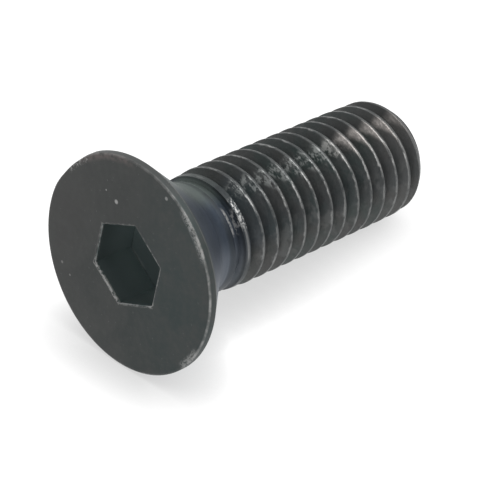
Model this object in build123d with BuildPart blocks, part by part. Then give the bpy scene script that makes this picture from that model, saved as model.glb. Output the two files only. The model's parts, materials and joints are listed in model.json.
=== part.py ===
# Countersunk socket screw, 1/2-13 UNC by 1 1/2 inch, cold headed from alloy steel wire,
# thread rolled and black oxide finished. Millimetres, +Z up. It lies as it comes to rest on
# a level surface, on the rim of its head and the crests at its tip. The origin is the centre
# of the flat head face, and the shank runs along +X and dips towards its tip.
from build123d import *
from math import asin, atan, cos, hypot, radians, sin, tan
import os

# Head: a flat face, a straight rim, and a cone that seats in the countersink
head_diameter = 22.25
head_angle = 82.0
rim_width = 0.79
face_edge_radius = 0.2
rim_edge_radius = 0.1

# Socket: a six-sided recess for a 5/16 inch key, with its punch's cone at the bottom
socket_across_flats = 7.94
socket_depth = 4.8
socket_point_angle = 120.0
socket_mouth_bevel = 0.12
socket_turn = 7.6

# Shank: the thread's envelope, which is the cylinder that its crests lie on. They stand
# crest_height above the wire that they were rolled from, which is left plain at the neck
screw_length = 37.1
thread_diameter = 12.38
crest_height = 0.51
neck_length = 1.05
neck_fillet_radius = 2.0
thread_run_in = 1.1
tip_chamfer = 1.4
tip_chamfer_angle = 50.0

# Where the cone meets the neck, where the thread starts, and where the tip's chamfer ends it
head_radius = head_diameter / 2
thread_radius = thread_diameter / 2
wire_radius = thread_radius - crest_height
tip_radius = thread_radius - tip_chamfer
cone_end = rim_width + (head_radius - wire_radius) / tan(radians(head_angle / 2))
thread_start = cone_end + neck_length
crest_end = screw_length - tip_chamfer * tan(radians(tip_chamfer_angle))

# The dip at which the rim's rounded back edge and the last crest touch one level surface
edge_centre = rim_width - rim_edge_radius * tan(radians(head_angle / 4))
edge_rise = head_radius - rim_edge_radius - thread_radius
edge_reach = crest_end - edge_centre
dip = atan(edge_rise / edge_reach) + asin(rim_edge_radius / hypot(edge_rise, edge_reach))
along = Vector(cos(dip), 0, -sin(dip))
upward = Vector(sin(dip), 0, cos(dip))
screw_axis = Axis((0, 0, 0), along)
half_section = Plane(origin=(0, 0, 0), x_dir=along, z_dir=along.cross(upward))
head_face = Plane(origin=(0, 0, 0), x_dir=upward, z_dir=along)

with BuildPart() as screw:
    # The blank: half of its section, from the face along the outside to the tip, with its
    # edges rounded at the face, at the back of the rim and under the cone
    with BuildSketch(half_section) as section:
        with BuildLine():
            Polyline(
                (0, 0),
                (0, head_radius),
                (rim_width, head_radius),
                (cone_end, wire_radius),
                (thread_start, wire_radius),
                (thread_start + thread_run_in, thread_radius),
                (crest_end, thread_radius),
                (screw_length, tip_radius),
                (screw_length, 0),
                close=True,
            )
        make_face()
        face_corner = section.vertices().sort_by_distance((0, head_radius))[0]
        fillet(face_corner, radius=face_edge_radius)
        rim_corner = section.vertices().sort_by_distance((rim_width, head_radius))[0]
        fillet(rim_corner, radius=rim_edge_radius)
        neck_corner = section.vertices().sort_by_distance((cone_end, wire_radius))[0]
        fillet(neck_corner, radius=neck_fillet_radius)
    revolve(axis=screw_axis)

    # The key's recess, and the cone under it
    with BuildSketch(head_face):
        RegularPolygon(socket_across_flats / 2, 6, major_radius=False, rotation=socket_turn)
    extrude(amount=socket_depth, mode=Mode.SUBTRACT)
    socket_point = (socket_across_flats / 2) / tan(radians(socket_point_angle / 2))
    with BuildSketch(half_section):
        with BuildLine():
            Polyline(
                (socket_depth, 0),
                (socket_depth, socket_across_flats / 2),
                (socket_depth + socket_point, 0),
                close=True,
            )
        make_face()
    revolve(axis=screw_axis, mode=Mode.SUBTRACT)

    # The socket's mouth, lightly broken where the punch went in
    mouth = screw.faces().sort_by(screw_axis)[0].inner_wires()[0].edges()
    chamfer(mouth, length=socket_mouth_bevel)

screw.part.label = "screw"
os.makedirs("parts", exist_ok=True)
export_step(screw.part, "parts/screw.step")
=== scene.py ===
import json
import math

import bmesh
import bpy
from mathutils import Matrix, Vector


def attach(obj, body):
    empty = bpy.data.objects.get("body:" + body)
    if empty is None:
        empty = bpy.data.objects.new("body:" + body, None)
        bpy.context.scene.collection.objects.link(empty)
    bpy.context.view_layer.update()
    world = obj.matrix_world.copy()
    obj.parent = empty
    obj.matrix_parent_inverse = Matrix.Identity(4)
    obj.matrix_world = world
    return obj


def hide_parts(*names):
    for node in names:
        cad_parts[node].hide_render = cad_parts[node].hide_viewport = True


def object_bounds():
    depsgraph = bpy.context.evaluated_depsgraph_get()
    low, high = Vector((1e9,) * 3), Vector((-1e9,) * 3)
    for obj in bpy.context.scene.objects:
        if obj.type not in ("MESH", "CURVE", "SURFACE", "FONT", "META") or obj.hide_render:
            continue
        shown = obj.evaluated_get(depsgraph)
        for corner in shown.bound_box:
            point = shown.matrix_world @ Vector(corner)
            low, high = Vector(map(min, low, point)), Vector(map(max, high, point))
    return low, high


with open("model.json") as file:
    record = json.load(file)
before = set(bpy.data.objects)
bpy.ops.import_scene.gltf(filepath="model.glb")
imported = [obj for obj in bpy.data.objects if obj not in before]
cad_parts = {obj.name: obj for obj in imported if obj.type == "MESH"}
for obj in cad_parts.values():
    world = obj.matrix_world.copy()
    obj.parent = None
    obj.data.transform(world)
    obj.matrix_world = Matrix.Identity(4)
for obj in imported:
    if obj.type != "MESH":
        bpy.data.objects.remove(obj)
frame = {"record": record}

cad_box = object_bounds()

# --------------------------------------------------------------------------------------------
# Blank. The screw starts as one length of alloy steel wire. Its head is struck cold in a die:
# a flat face, a straight rim, the 82 degree cone that seats in the countersink, and a plain
# neck, which tapers here into the wire that the thread is rolled from. Sizes are in mm.
# --------------------------------------------------------------------------------------------
head_radius = 11.125
head_half_angle = 41
rim_width = 0.79
neck_radius = 5.68
neck_end = 8.12
root_radius = 5.134
face_edge_radius = 0.18
rim_edge_radius = 0.1
neck_fillet_radius = 2.0
steps_around = 144
merge_distance = 2e-6

cone_end = rim_width + (head_radius - neck_radius) / math.tan(math.radians(head_half_angle))


def draw_outline(name, corners, closed=False):
    """Draws a chain of edges through corners, each (along the axis, to the side, up) in mm."""
    bpy.ops.object.select_all(action="DESELECT")
    bpy.ops.mesh.primitive_plane_add(size=0.001)
    drawn = bpy.context.object
    drawn.name = name
    bpy.ops.object.mode_set(mode="EDIT")
    bpy.ops.mesh.select_mode(type="VERT")
    bpy.ops.mesh.select_all(action="SELECT")
    bpy.ops.mesh.merge(type="CENTER")
    bpy.ops.transform.translate(value=[c / 1000 for c in corners[0]])
    for here, there in zip(corners, corners[1:]):
        step = [(b - a) / 1000 for a, b in zip(here, there)]
        bpy.ops.mesh.extrude_vertices_move(TRANSFORM_OT_translate={"value": step})
    if closed:
        bpy.ops.mesh.select_all(action="SELECT")
        bpy.ops.mesh.edge_face_add()
    bpy.ops.object.mode_set(mode="OBJECT")
    return drawn


def round_corner(drawn, corner, radius, turn, segments):
    """Rounds one corner of an outline, where its line turns by that many degrees."""
    bpy.ops.object.mode_set(mode="EDIT")
    bpy.ops.mesh.select_mode(type="VERT")
    bpy.ops.mesh.select_all(action="DESELECT")
    edited = bmesh.from_edit_mesh(drawn.data)
    nearest = min(edited.verts, key=lambda v: math.dist(v.co, [c / 1000 for c in corner]))
    nearest.select_set(True)
    bmesh.update_edit_mesh(drawn.data)
    cut_back = radius * math.tan(math.radians(turn) / 2) / 1000
    bpy.ops.mesh.bevel(affect="VERTICES", offset=cut_back, segments=segments, profile=0.5)
    bpy.ops.object.mode_set(mode="OBJECT")


def merge_and_face_outwards():
    """Merges the doubled points of the mesh in edit mode, and turns its faces outwards."""
    bpy.ops.mesh.select_mode(type="VERT")
    bpy.ops.mesh.select_all(action="SELECT")
    bpy.ops.mesh.remove_doubles(threshold=merge_distance)
    bpy.ops.mesh.select_all(action="SELECT")
    bpy.ops.mesh.normals_make_consistent(inside=False)


def turn_about_axis(drawn, steps):
    """Turns an outline once about the screw's axis, and closes the seam and the ends."""
    bpy.ops.object.mode_set(mode="EDIT")
    bpy.ops.mesh.select_all(action="SELECT")
    bpy.ops.mesh.spin(steps=steps, angle=math.tau, center=(0, 0, 0), axis=(1, 0, 0))
    merge_and_face_outwards()
    bpy.ops.object.mode_set(mode="OBJECT")


# The ring of points just inside the face's edge keeps the shading of the face flat
screw = draw_outline("screw_body", [
    (0, 0, 0),
    (0, 0, head_radius - 0.5),
    (0, 0, head_radius),
    (rim_width, 0, head_radius),
    (cone_end, 0, neck_radius),
    (neck_end, 0, neck_radius),
    (neck_end + 1.3, 0, neck_radius - 0.22),
    (neck_end + 2.6, 0, root_radius),
    (neck_end + 3.2, 0, root_radius - 0.15),
    (neck_end + 3.2, 0, 0),
])
round_corner(screw, (0, 0, head_radius), face_edge_radius, turn=90, segments=5)
rim_corner, neck_corner = (rim_width, 0, head_radius), (cone_end, 0, neck_radius)
round_corner(screw, rim_corner, rim_edge_radius, turn=head_half_angle, segments=3)
round_corner(screw, neck_corner, neck_fillet_radius, turn=head_half_angle, segments=10)
turn_about_axis(screw, steps_around)

# One side of the rim is dented, as heads are when screws are tumbled together
dent_at = math.radians(-50)
dent_half_width = math.radians(5)
dent_depth = 0.18
dent_spread = 3
dented_rim_from = 10.8
bpy.ops.object.mode_set(mode="EDIT")
bpy.ops.mesh.select_mode(type="VERT")
bpy.ops.mesh.select_all(action="DESELECT")
edited = bmesh.from_edit_mesh(screw.data)
for vertex in edited.verts:
    from_axis = math.hypot(vertex.co.y, vertex.co.z) * 1000
    round_from_dent = math.atan2(-vertex.co.y, vertex.co.z) - dent_at
    if from_axis > dented_rim_from and abs(round_from_dent) < dent_half_width:
        vertex.select_set(True)
bmesh.update_edit_mesh(screw.data)
inward = (0, dent_depth * math.sin(dent_at) / 1000, -dent_depth * math.cos(dent_at) / 1000)
bpy.ops.transform.translate(
    value=inward, use_proportional_edit=True, proportional_edit_falloff="SMOOTH",
    proportional_size=dent_spread / 1000,
)
bpy.ops.object.mode_set(mode="OBJECT")

# --------------------------------------------------------------------------------------------
# Thread. 1/2-13 UNC, right hand, rolled between dies that push the wire's surface into 60
# degree ridges with worn, slightly rounded crests. The ridges rise out of the neck over the
# first turns, and the chamfer at the tip cuts the last one away.
# --------------------------------------------------------------------------------------------
pitch = 25.4 / 13
pitch_line = 5.68
crest_radius = 6.19
crest_edge_radius = 0.12
flank_turn = 60
tip = 37.1
steps_a_turn = 120
turns_wound = 17

# The helix is set by the place of one of its crests on the screw's upper side, and is wound
# from some turns before that. It is longer than the thread, and is trimmed at both ends
crest_place = 33.4079
turns_before_crest = 14.5
first_turn = crest_place - turns_before_crest * pitch
trimmed_from = 7.3
trimmed_to = tip + 0.4

crest_half_width = pitch / 4 - (crest_radius - pitch_line) / math.sqrt(3)
sharp_root = pitch_line - pitch / 4 * math.sqrt(3)
ridge_corners = [
    (first_turn, 0, sharp_root),
    (first_turn + pitch / 2 - crest_half_width, 0, crest_radius),
    (first_turn + pitch / 2 + crest_half_width, 0, crest_radius),
    (first_turn + pitch, 0, sharp_root),
]
thread = draw_outline("thread", ridge_corners)
for crest_corner in ridge_corners[1:3]:
    round_corner(thread, crest_corner, crest_edge_radius, turn=flank_turn, segments=3)

winding = thread.modifiers.new("winding", "SCREW")
winding.axis = "X"
winding.screw_offset = pitch / 1000
winding.iterations = turns_wound
winding.steps = steps_a_turn
winding.render_steps = steps_a_turn
bpy.ops.object.modifier_apply(modifier=winding.name)

bpy.ops.object.mode_set(mode="EDIT")
bpy.ops.mesh.select_all(action="SELECT")
bpy.ops.mesh.remove_doubles(threshold=merge_distance)
for cut, starts_here in ((trimmed_from, True), (trimmed_to, False)):
    bpy.ops.mesh.select_all(action="SELECT")
    bpy.ops.mesh.bisect(
        plane_co=(cut / 1000, 0, 0), plane_no=(1, 0, 0), threshold=1e-8,
        use_fill=True, clear_inner=starts_here, clear_outer=not starts_here,
    )
bpy.ops.mesh.select_all(action="SELECT")
bpy.ops.mesh.normals_make_consistent(inside=False)
bpy.ops.object.mode_set(mode="OBJECT")


def cut_or_join(piece, operation, tool):
    """Joins the tool to the piece, or cuts the piece with it, and takes the tool away."""
    bpy.ops.object.select_all(action="DESELECT")
    piece.select_set(True)
    bpy.context.view_layer.objects.active = piece
    work = piece.modifiers.new("work", "BOOLEAN")
    work.operation = operation
    work.solver = "MANIFOLD"
    work.object = tool
    bpy.ops.object.modifier_apply(modifier=work.name)
    bpy.data.objects.remove(tool)


# How far out the ridges reach: they rise out of the neck, stand full along the shank, and are
# cut back by the tip's chamfer, behind its slightly dished end
reach = draw_outline("reach", [
    (7.0, 0, 0),
    (7.0, 0, 5.2),
    (8.0, 0, 5.6),
    (8.3, 0, 5.72),
    (8.9, 0, 5.88),
    (9.8, 0, 5.95),
    (10.6, 0, 6.05),
    (11.8, 0, 6.14),
    (12.8, 0, 6.3),
    (tip - 7.0, 0, 6.2),
    (tip - 1.8, 0, 6.11),
    (tip - 1.3, 0, 5.93),
    (tip - 0.8, 0, 5.58),
    (tip - 0.35, 0, 5.2),
    (tip, 0, 4.78),
    (tip - 0.1, 0, 3.9),
    (tip - 0.14, 0, 0),
])
turn_about_axis(reach, steps_around)
cut_or_join(thread, "INTERSECT", reach)
cut_or_join(screw, "UNION", thread)

# --------------------------------------------------------------------------------------------
# Key socket. Six flats for a 5/16 inch key, punched into the head, with the punch's own cone
# at the bottom. The mouth is lightly broken, and the corners are as sharp as the punch.
# --------------------------------------------------------------------------------------------
half_flats = 7.94 / 2
socket_depth = 4.8
socket_turn = math.radians(7.6)
mouth_bevel = 0.12
point_half_angle = 60
point_inset = 0.06
point_lap = 0.3
point_steps = 48
smoothing_angle = 32


def six_corners(along, half_across):
    """The corners of the hexagon with those half flats, at one place along the axis."""
    reach_out = half_across / math.cos(math.radians(30))
    angles = [socket_turn + math.radians(60) * n for n in range(6)]
    return [(along, -reach_out * math.sin(a), reach_out * math.cos(a)) for a in angles]


# The punch: a hexagon in front of the face that narrows to the flats, then runs straight down
flare = 0.4
widest = half_flats + mouth_bevel + flare
punch = draw_outline("punch", six_corners(-flare, widest), closed=True)
bpy.ops.object.mode_set(mode="EDIT")
for step, growth in (
    (flare + mouth_bevel, half_flats / widest),
    (socket_depth - mouth_bevel, 1.0),
):
    bpy.ops.mesh.select_all(action="DESELECT")
    bpy.ops.mesh.select_mode(type="FACE")
    edited = bmesh.from_edit_mesh(punch.data)
    edited.faces.ensure_lookup_table()
    deepest = max(edited.faces, key=lambda f: f.calc_center_median().x)
    deepest.select_set(True)
    bmesh.update_edit_mesh(punch.data)
    bpy.ops.mesh.extrude_region_move(TRANSFORM_OT_translate={"value": (step / 1000, 0, 0)})
    bpy.ops.transform.resize(value=(1, growth, growth), center_override=(0, 0, 0))
bpy.ops.mesh.select_all(action="SELECT")
bpy.ops.mesh.normals_make_consistent(inside=False)
bpy.ops.object.mode_set(mode="OBJECT")
cut_or_join(screw, "DIFFERENCE", punch)

point_depth = half_flats / math.tan(math.radians(point_half_angle))
punch_point = draw_outline("punch_point", [
    (socket_depth - point_lap, 0, 0),
    (socket_depth - point_lap, 0, half_flats - point_inset),
    (socket_depth, 0, half_flats - point_inset),
    (socket_depth + point_depth, 0, 0),
])
turn_about_axis(punch_point, point_steps)
cut_or_join(screw, "DIFFERENCE", punch_point)

bpy.ops.object.mode_set(mode="EDIT")
merge_and_face_outwards()
bpy.ops.object.mode_set(mode="OBJECT")
bpy.ops.object.shade_smooth_by_angle(angle=math.radians(smoothing_angle))
shading = screw.modifiers.new("shading", "WEIGHTED_NORMAL")
shading.keep_sharp = True
bpy.ops.object.modifier_apply(modifier=shading.name)

# The screw lies on its rim and its last crests, so its axis dips towards the tip
key_axis = next(m["axis"] for m in frame["record"]["mounts"] if m["name"] == "drive_socket")
dip = math.atan2(key_axis[2], -key_axis[0])
screw.rotation_euler = (0, dip, 0)
bpy.ops.object.transform_apply(location=True, rotation=True, scale=True)

# --------------------------------------------------------------------------------------------
# Finish. Black oxide grown on the steel in a hot salt bath, then oiled: a thin, dark, slightly
# blue layer, matte on the struck face, smooth on the neck and almost black in the thread. It
# is worn through to bright steel on the crests, at the rim's edges and round the socket. Some
# of the colour below is painted light: painted highlights, reflections and shade, named so.
# --------------------------------------------------------------------------------------------


class Value:
    """A number, colour or direction that varies over the surface, as one output socket."""

    def __init__(self, socket):
        self.socket = socket

    def node(self, kind, settings, inputs, output=0):
        tree = self.socket.id_data
        made = tree.nodes.new(kind)
        for name, setting in settings.items():
            setattr(made, name, setting)
        for name, value in inputs.items():
            if isinstance(value, Value):
                tree.links.new(value.socket, made.inputs[name])
            else:
                made.inputs[name].default_value = value
        return Value(made.outputs[output])

    def math(self, operation, *others):
        inputs = dict(enumerate((self, *others)))
        return self.node("ShaderNodeMath", {"operation": operation}, inputs)

    def __add__(self, other):
        return self.math("ADD", other)

    def __sub__(self, other):
        return self.math("SUBTRACT", other)

    def __rsub__(self, other):
        return self.math("MULTIPLY_ADD", -1.0, other)

    def __mul__(self, other):
        return self.math("MULTIPLY", other)

    def __truediv__(self, other):
        return self.math("DIVIDE", other)

    def __abs__(self):
        return self.math("ABSOLUTE")

    __radd__ = __add__
    __rmul__ = __mul__

    def rise(self, low, high):
        """0 below low, 1 above high and a smooth step between; low above high gives a fall."""
        if low > high:
            return 1 - self.rise(high, low)
        return self.node("ShaderNodeMapRange", {"interpolation_type": "SMOOTHSTEP"},
                         {"Value": self, "From Min": low, "From Max": high})


# Where on the screw a point is, in mm: along the axis from the head's face, to the side, up,
# and out from the axis
oxide = bpy.data.materials.new("black_oxide")
oxide.use_nodes = True
shader = oxide.node_tree.nodes["Principled BSDF"]
object_place = Value(oxide.node_tree.nodes.new("ShaderNodeTexCoord").outputs["Object"])
place = object_place.node("ShaderNodeMapping", {"vector_type": "POINT"}, {
    "Vector": object_place, "Rotation": (0, -dip, 0), "Scale": (1000, 1000, 1000)})
along = place.node("ShaderNodeSeparateXYZ", {}, {"Vector": place}, "X")
side = Value(along.socket.node.outputs["Y"])
up = Value(along.socket.node.outputs["Z"])
radius = (side * side + up * up).math("SQRT")
turn = (side * -1).math("ARCTAN2", up)


def speckle(scale, detail=3, stretch=None, roughness=0.55):
    """Noise of about 0 to 1, with that many features per mm, drawn out round the screw."""
    where = place
    if stretch:
        where = place.node(
            "ShaderNodeVectorMath", {"operation": "MULTIPLY"}, {0: place, 1: stretch})
    return place.node("ShaderNodeTexNoise", {"noise_dimensions": "3D"}, {
        "Vector": where, "Scale": scale, "Detail": detail, "Roughness": roughness}, "Fac")


def blend(factor, below, above):
    """One colour changing to another where the factor goes from 0 to 1."""
    below, above = (c if isinstance(c, Value) else (*c, 1) for c in (below, above))
    return factor.node("ShaderNodeMix", {"data_type": "RGBA", "clamp_factor": True},
                       {0: factor, 6: below, 7: above}, 2)


def lay_over(colour, *layers):
    """A colour with others laid over it in turn, each with the mask of where it shows."""
    for mask, shade in layers:
        colour = blend(mask, colour, shade)
    return colour


# Degrees round from the top, how far before or after the nearest crest, how far out on the
# hexagon, and which surface a point is on
degrees = turn * math.degrees(1)
turns = (along - crest_place) / pitch - turn / math.tau
from_crest = (turns - turns.math("ROUND")) * pitch
hexagon = None
for flat in range(3):
    facing = socket_turn + math.radians(30 + 60 * flat)
    across = abs(up * math.cos(facing) - side * math.sin(facing))
    hexagon = across if hexagon is None else hexagon.math("MAXIMUM", across)
on_face = along.rise(0.12, 0.04) * radius.rise(3.9, 4.0)
on_thread = along.rise(7.9, 8.5)
end_face = radius.rise(4.95, 4.75) * along.rise(30, 32)
in_socket = hexagon.rise(half_flats + 0.1, half_flats + 0.02) * along.rise(0.03, 0.1)
in_socket = in_socket * along.rise(12, 11)
near_tip = along.rise(23, 29)

# Noise, from the finest grain to slow clouds
fine = speckle(7, roughness=0.6)
flecks = speckle(4.5, stretch=(1, 0.6, 0.6), roughness=0.6)
scratches = speckle(4.2, stretch=(1.1, 0.4, 0.4), roughness=0.6)
broken = speckle(2.2, detail=4, stretch=(1, 0.6, 0.6))
strokes = speckle(1.5, detail=4, stretch=(6, 1, 1), roughness=0.65)
sway = speckle(0.9, detail=2, stretch=(1, 0.7, 0.7))
patches = speckle(0.3, detail=2)
clouds = speckle(0.12, detail=2, stretch=(1, 1, 1.3))


def arc(middle, half_width, soft=8):
    """1 within that many degrees of one place round the screw, fading to 0 beyond it."""
    away = abs(((degrees - (middle - 180)) / 360).math("FRACT") * 360 - 180)
    return away.rise(half_width + soft, half_width)


def nick(side_at, up_at, size):
    """1 inside one small dent in the face, fading to 0 at that distance in mm."""
    away_side, away_up = side - side_at, up - up_at
    away = (away_side * away_side + away_up * away_up).math("SQRT")
    return away.rise(size, size * 0.4) * on_face


# Oxide on the face: bluer to one side, browner to the other and paler towards the rim
lighter_side = (side * 0.5 + up).rise(-9, 10) * 0.7 + clouds.rise(0.35, 0.65) * 0.3
mottled = fine.rise(0.25, 0.75) * 0.2 + patches.rise(0.4, 0.6) * 0.25
mottled = mottled + broken.rise(0.4, 0.65) * 0.25 + radius.rise(6.5, 10.0) * 0.2
face_colour = lay_over(
    blend(lighter_side, (0.044, 0.052, 0.051), (0.061, 0.064, 0.063)),
    (side.rise(2, -9) * 0.75, (0.037, 0.060, 0.061)),
    (side.rise(3, 10) * 0.5, (0.066, 0.062, 0.062)),
    (mottled, (0.076, 0.079, 0.077)),
)

# On the cone and neck: blue, with a painted highlight along the top and a painted reflection
# of the white table low on one side
neck_colour = lay_over(
    blend(patches.rise(0.3, 0.7), (0.030, 0.042, 0.060), (0.046, 0.060, 0.084)),
    # painted highlight along the top
    (arc(-8, 18, 25), (0.098, 0.120, 0.113)),
    # painted reflection of the table, low on one side
    (arc(116, 26, 26) * 0.7, (0.140, 0.160, 0.192)),
    (strokes.rise(0.4, 0.7) * 0.15, (0.095, 0.110, 0.125)),
)

# On the thread's flanks: patches, flecks and strokes, then the tints round and along it. The
# paler lower side with its pale patches is a painted reflection of the table, the darker top
# is painted shade, the paler band beside the crests on one side is a painted highlight, and
# the paler roots are painted light against the grooves' shade
flank_colour = lay_over(
    blend(patches.rise(0.35, 0.65), (0.049, 0.073, 0.069), (0.077, 0.076, 0.074)),
    ((broken + sway).rise(0.95, 1.2) * 0.5, (0.115, 0.120, 0.118)),
    (flecks.rise(0.5, 0.62) * 0.35, (0.030, 0.036, 0.036)),
    (strokes.rise(0.35, 0.75) * 0.5, (0.082, 0.086, 0.086)),
    (along.rise(28, 35) * 0.7, (0.140, 0.138, 0.135)),
    # painted reflection of the table on the lower side
    (arc(120, 30, 20) * 0.4, (0.098, 0.098, 0.096)),
    (arc(72, 10, 12) * 0.25, (0.050, 0.064, 0.074)),
    # painted reflection of the table, in patches
    (arc(88, 20, 12) * sway.rise(0.5, 0.62) * 0.45, (0.150, 0.155, 0.153)),
    # painted shade along the top
    (arc(-10, 14, 14) * 0.6, (0.040, 0.044, 0.044)),
    (along.rise(17, 11) * arc(45, 30, 15) * 0.5, (0.070, 0.084, 0.098)),
    # painted highlight beside the crests
    (arc(47, 9, 9) * from_crest.rise(-0.1, -0.45) * 0.3, (0.120, 0.126, 0.130)),
    # painted light in the roots, against their shade
    (abs(from_crest).rise(0.5, 0.9) * arc(70, 35, 15) * 0.35, (0.100, 0.108, 0.108)),
)

# The flats of the crests and the groove beside the first one are darkened as painted shade,
# and the end face is grainy
crest_flat_shade = (abs(from_crest) - along.rise(11.8, 9.8) * 0.25).rise(0.28, 0.12)
first_groove_shade = abs(from_crest - 0.4).rise(0.22, 0.08) * along.rise(9.4, 9.1)
first_groove_shade = first_groove_shade * along.rise(7.9, 8.1) * arc(52, 18, 12)
end_grain = fine.rise(0.3, 0.7) * 0.6 + patches.rise(0.3, 0.7) * 0.4
end_colour = blend(end_grain, (0.050, 0.057, 0.057), (0.090, 0.093, 0.092))
thread_colour = lay_over(
    flank_colour,
    (along.rise(12.0, 8.5), neck_colour),
    # painted shade on the crests' flats and in the first groove
    (crest_flat_shade * (0.6 + arc(23, 8, 6) * 0.35), (0.026, 0.031, 0.033)),
    (first_groove_shade * 0.6, (0.014, 0.020, 0.034)),
    (end_face, end_colour),
)

# In the socket: paler down its walls, as painted light against the socket's shade, and darker
# again at the bottom
socket_bottom = along.rise(socket_depth - 0.1, socket_depth - 0.01)
socket_colour = lay_over(
    blend(along.rise(0.2, 4.2), (0.115, 0.145, 0.145), (0.285, 0.35, 0.35)),
    (socket_bottom, (0.165, 0.205, 0.205)),
)
oxide_colour = lay_over(
    blend(along.rise(1.6, 0.9), neck_colour, face_colour),
    (on_thread, thread_colour),
    (in_socket, socket_colour),
)

# Wear and painted highlight on the crests: a thin wavering line of worn steel, broken in
# places.
# Its brightness round the screw, brightest along one side, is a painted highlight, and a soft
# painted sheen lies beside it. It starts faint, where the thread runs in, and ends with the
# last full crest
wavering = abs(from_crest + (broken - 0.5) * 0.45 + (sway - 0.5) * 0.6 + arc(25, 7, 8) * 0.15)
crest_line = wavering.rise(0.17, 0.02) * along.rise(35.2, 34.6)
runs_in = along.rise(9.0, 9.8) * (0.35 + along.rise(10.5, 12.0) * 0.65)
first_glint = arc(47, 12, 10) * flecks.rise(0.4, 0.6) * along.rise(8.7, 9.0) * 0.6
crest_line = crest_line * (runs_in + first_glint).math("MINIMUM", 1.0)
# painted highlight along one side of the screw
bright_side = (flecks + sway).rise(0.9, 1.15) * 0.5 + 0.02 + along.rise(24, 29) * 0.3
bright_side = arc(48, 9, 12) * bright_side
uneven = (0.5 + patches.rise(0.35, 0.65) * 0.6) * (1 - arc(10, 8, 6) * 0.8)
uneven = uneven + arc(-14, 8, 8) * 0.9
crest_rub_and_highlight = (broken + sway).rise(0.8, 1.15) * 0.24 * uneven + 0.03 + bright_side
crest_wear_and_highlight = crest_line * crest_rub_and_highlight * (1 - arc(22, 8, 6) * 0.75)
# painted sheen beside the crests
soft_side = from_crest.rise(0.42, 0.06) * from_crest.rise(-0.3, -0.05) * arc(60, 45, 15)
soft_side = soft_side * broken.rise(0.25, 0.6) * along.rise(11, 12)
crest_wear_and_highlight = crest_wear_and_highlight + soft_side * 0.11

# Where the thread runs in, the first crest has a cluster of bright flecks, a second lip nearer
# the head, more flecks between the two, and a faint line further round: worn steel, partly
# painted glints on the same side as the crests' painted highlight
cluster = abs(from_crest).rise(0.38, 0.24) * along.rise(9.1, 9.5) * along.rise(11.8, 11.2)
cluster = cluster * arc(46, 11, 7) * flecks.rise(0.44, 0.56)
second_lip = abs(from_crest - 0.74).rise(0.32, 0.12) * along.rise(9.5, 9.3)
second_lip = second_lip * arc(50, 10, 8) * flecks.rise(0.3, 0.52) * along.rise(8.3, 8.5)
between_lips = abs(from_crest + 0.5).rise(0.26, 0.1) * along.rise(8.9, 9.2)
between_lips = between_lips * along.rise(11.0, 10.4) * arc(52, 9, 6)
between_lips = between_lips * scratches.rise(0.48, 0.58)
faint_line = abs(from_crest).rise(0.2, 0.06) * along.rise(9.0, 9.3) * along.rise(12.2, 11.4)
faint_line = faint_line * arc(76, 12, 10)
crest_wear_and_highlight = crest_wear_and_highlight + cluster * 0.75 + second_lip * 0.75
crest_wear_and_highlight = crest_wear_and_highlight + between_lips * 0.7 + faint_line * 0.28

# Bright patches on the flanks just before the crests, on one side of the screw: partly scuffed
# steel and partly a painted highlight of the light on those flanks. They are widest at their
# upper ends and run into the crests below, rough near the head and smooth near the tip
rough_reach = 1.1 - degrees.rise(12, 46) * 0.75
smooth_reach = 0.88 - degrees.rise(8, 44) * 0.6
before_crest = (from_crest + rough_reach).rise(0, 0.3) * from_crest.rise(0.1, -0.15)
before_crest = before_crest * (1 - end_face)
rough_scuffs_and_highlight = arc(26, 8, 8) * before_crest * along.rise(10.5, 12.0) * along.rise(28, 25)
rough_scuffs_and_highlight = rough_scuffs_and_highlight * (scratches.rise(0.45, 0.6) * 0.9 + broken.rise(0.4, 0.7) * 0.2)
smooth_scuffs_and_highlight = arc(28, 8, 13) * before_crest * (from_crest + smooth_reach).rise(0, 0.35)
smooth_scuffs_and_highlight = smooth_scuffs_and_highlight * along.rise(22, 27) * (0.5 + scratches.rise(0.4, 0.62) * 0.5)
smooth_scuffs_and_highlight = smooth_scuffs_and_highlight * (1 - along.rise(34.2, 35) * 0.5)
scuffs_and_highlight = (rough_scuffs_and_highlight + smooth_scuffs_and_highlight).math("MINIMUM", 1.0)

# Wear and painted highlight on the rim: thin lines along both its edges, with two wider places
# on the front one, and a painted highlight that brightens the front edge on one side
front = along.rise(0.22, 0.02)
front_edge = front * radius.rise(head_radius - 0.28, head_radius - 0.08)
wide_places = front * radius.rise(head_radius - 0.8, head_radius - 0.4)
wide_places = wide_places * (arc(50, 9, 7) + arc(123, 5, 5))
back_edge = abs(along - (rim_width + 0.02)).rise(0.12, 0.02) * radius.rise(10.9, 11.0)
rim_wear_and_highlight = front_edge * (patches.rise(0.3, 0.6) * 0.25 + 0.05 + arc(70, 35, 20) * 0.5)
rim_wear_and_highlight = (rim_wear_and_highlight + back_edge * 0.2) * (0.35 + broken.rise(0.35, 0.65) * 0.65)
rim_wear_and_highlight = rim_wear_and_highlight + wide_places * (flecks + fine).rise(0.85, 1.1) * 0.5

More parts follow.
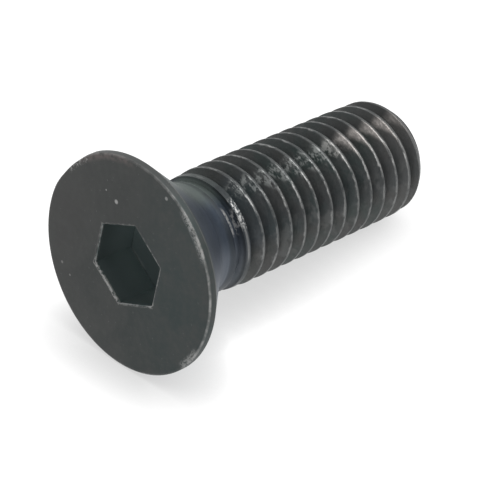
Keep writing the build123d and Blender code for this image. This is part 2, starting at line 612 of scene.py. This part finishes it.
# Wear round the socket's mouth, paler on one side as painted light on its lit lip, and a faint
# painted glint at the foot of its walls
from_mouth = hexagon - (half_flats + mouth_bevel / 2)
from_mouth = abs(from_mouth + (broken - 0.5) * 0.5 + (flecks - 0.5) * 0.4)
mouth_wear_and_light = broken.rise(0.4, 0.6) * 0.4 + 0.05
mouth_wear_and_light = mouth_wear_and_light + arc(-140, 25, 10) * flecks.rise(0.4, 0.55) * 0.75
mouth_wear_and_light = mouth_wear_and_light + arc(80, 45, 15) * 0.35
foot_glint = arc(-130, 12, 8) * abs(along - (socket_depth - 0.02)).rise(0.2, 0.05)
foot_glint = foot_glint * hexagon.rise(3.7, 3.85) * hexagon.rise(4.1, 4.0)
socket_wear_and_glint = from_mouth.rise(0.2, 0.03) * along.rise(0.34, 0.2) * mouth_wear_and_light
socket_wear_and_glint = socket_wear_and_glint + foot_glint * 0.2

# Nicks on the face, each where it lies to the side and up, its size and how bright it is,
# with a scatter of flecks, and more of them by the dent
face_nicks = flecks.rise(0.66, 0.74) * on_face * 0.14
for side_at, up_at, size, brightness in (
    (2.05, 5.98, 0.3, 0.7),
    (3.5, 6.6, 0.12, 0.6),
    (-4.3, 9.3, 0.25, 0.5),
    (8.7, -3.9, 0.2, 0.3),
    (7.5, -4.8, 0.16, 0.3),
):
    face_nicks = face_nicks + nick(side_at, up_at, size) * brightness
by_dent = arc(-44, 6, 5) * radius.rise(10.3, 10.7) * on_face * flecks.rise(0.48, 0.6)
face_nicks = face_nicks + by_dent * 0.5
rubbed_brown = arc(-22, 14, 10) * radius.rise(10.2, 10.8) * on_face * broken.rise(0.3, 0.6)

# All of it together: worn places and the painted highlights and glints are bare steel in
# colour, a little smoother than the oxide
wear_and_highlights = (crest_wear_and_highlight + rim_wear_and_highlight + socket_wear_and_glint + face_nicks).math("MINIMUM", 1.0)
brown_oxide = (0.16, 0.135, 0.13)
bare_steel_and_highlight = (0.52, 0.52, 0.51)
# the colour of the scuffed steel and of the painted highlight on the flanks
scuffed_steel_and_highlight = blend(near_tip, (0.46, 0.48, 0.47), (0.66, 0.61, 0.58))
colour = lay_over(
    oxide_colour,
    (rubbed_brown * 0.7, brown_oxide),
    (scuffs_and_highlight * (0.75 + near_tip * 0.2), scuffed_steel_and_highlight),
    (wear_and_highlights * 0.95, bare_steel_and_highlight),
)
roughness = 0.50 - on_thread * 0.06 + end_face * 0.06 + (fine - 0.5) * 0.12
roughness = roughness - wear_and_highlights * 0.1 - scuffs_and_highlight * 0.05
height = fine * 0.004 + strokes * on_thread * 0.02 + broken * (wear_and_highlights + scuffs_and_highlight) * 0.03
bump = height.node("ShaderNodeBump", {}, {
    "Height": height, "Strength": 1.0, "Distance": 0.001}, "Normal")

shader.inputs["Metallic"].default_value = 0.6
oxide.node_tree.links.new(colour.socket, shader.inputs["Base Color"])
oxide.node_tree.links.new(roughness.socket, shader.inputs["Roughness"])
oxide.node_tree.links.new(bump.socket, shader.inputs["Normal"])
screw.data.materials.clear()
screw.data.materials.append(oxide)

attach(screw, "root")
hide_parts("screw")

# --------------------------------------------------------------------------------------------
# Table, light and camera. The screw lies on a plain white table under a soft, even light, in
# a room that is lighter at the back. Sizes are in metres.
# --------------------------------------------------------------------------------------------
table_size = 4
contact_reach = 0.006

bpy.ops.object.select_all(action="DESELECT")
bpy.ops.mesh.primitive_plane_add(size=table_size, location=(0, 0, cad_box[0].z))
table = bpy.context.object
table.name = "table"
table_white = bpy.data.materials.new("white_table")
table_white.use_nodes = True
tree = table_white.node_tree
tree.nodes.remove(tree.nodes["Principled BSDF"])

# The table's own paper colour lights the screw, and mirrors see it white
seen = Value(tree.nodes.new("ShaderNodeLightPath").outputs["Is Camera Ray"])
mirrored = Value(seen.socket.node.outputs["Is Glossy Ray"])
through = Value(seen.socket.node.outputs["Is Transmission Ray"])
mirrored_or_through = (mirrored + through).math("MINIMUM", 1.0)
paper = seen.node("ShaderNodeBsdfDiffuse", {}, {"Color": (0.85, 0.85, 0.85, 1)})
white = seen.node("ShaderNodeEmission", {}, {"Color": (0.95, 0.95, 0.95, 1)})
unseen = seen.node("ShaderNodeMixShader", {}, {0: mirrored_or_through, 1: paper, 2: white})

# The camera sees it nearly white, with the screw's soft shadow and a darker edge where the
# two come close, which fades along the shank
down_table = Value(tree.nodes.new("ShaderNodeTexCoord").outputs["Object"])
down_table = down_table.node("ShaderNodeSeparateXYZ", {}, {"Vector": down_table}, "X")
deepening = 4.4 - down_table.rise(0.002, 0.03) * 3.2
open_above = seen.node("ShaderNodeAmbientOcclusion", {"samples": 16}, {
    "Distance": contact_reach}, "AO").math("POWER", deepening)
glow_colour = blend(open_above, (0.57, 0.57, 0.57), (0.95, 0.95, 0.95))
glow = seen.node("ShaderNodeEmission", {}, {"Color": glow_colour})
shade = seen.node("ShaderNodeBsdfDiffuse", {}, {"Color": (0.25, 0.25, 0.25, 1)})
lit = seen.node("ShaderNodeAddShader", {}, {0: shade, 1: glow})
surface = seen.node("ShaderNodeMixShader", {}, {0: seen, 1: unseen, 2: lit})
tree.links.new(surface.socket, tree.nodes["Material Output"].inputs["Surface"])
table.data.materials.append(table_white)

world = bpy.data.worlds.new("pale_room")
bpy.context.scene.world = world
world.use_nodes = True
tree = world.node_tree
seen = Value(tree.nodes.new("ShaderNodeLightPath").outputs["Is Camera Ray"])
direction = Value(tree.nodes.new("ShaderNodeTexCoord").outputs["Generated"])
towards_back = direction.node("ShaderNodeVectorMath", {"operation": "DOT_PRODUCT"}, {
    0: direction, 1: (0.35, 0.8, 0.5)}, "Value")
spread = Value(seen.socket.node.outputs["Is Diffuse Ray"])
mirrored_room = 0.42 + towards_back.rise(0.3, 0.9) * 0.6
room = spread * 0.5 + (1 - spread) * mirrored_room
background = tree.nodes["Background"]
background.inputs["Color"].default_value = (1, 1, 1, 1)
tree.links.new(room.math("MAXIMUM", seen).socket, background.inputs["Strength"])

bpy.ops.object.light_add(
    type="SUN", location=(0, 0, 0.5), rotation=(math.radians(20), math.radians(22), 0),
)
lamp = bpy.context.object
lamp.name = "softbox"
lamp.data.energy = 1.6
lamp.data.angle = math.radians(60)

bpy.ops.object.camera_add(
    location=(-0.12949, -0.14280, 0.14530),
    rotation=(math.radians(53.510), math.radians(0.0997), math.radians(-45.534)),
)
camera = bpy.context.object
camera.data.lens = 189.3
camera.data.sensor_width = 36
camera.data.clip_start = 0.01
camera.data.clip_end = 10
bpy.context.scene.camera = camera
bpy.context.scene.view_settings.view_transform = "Standard"
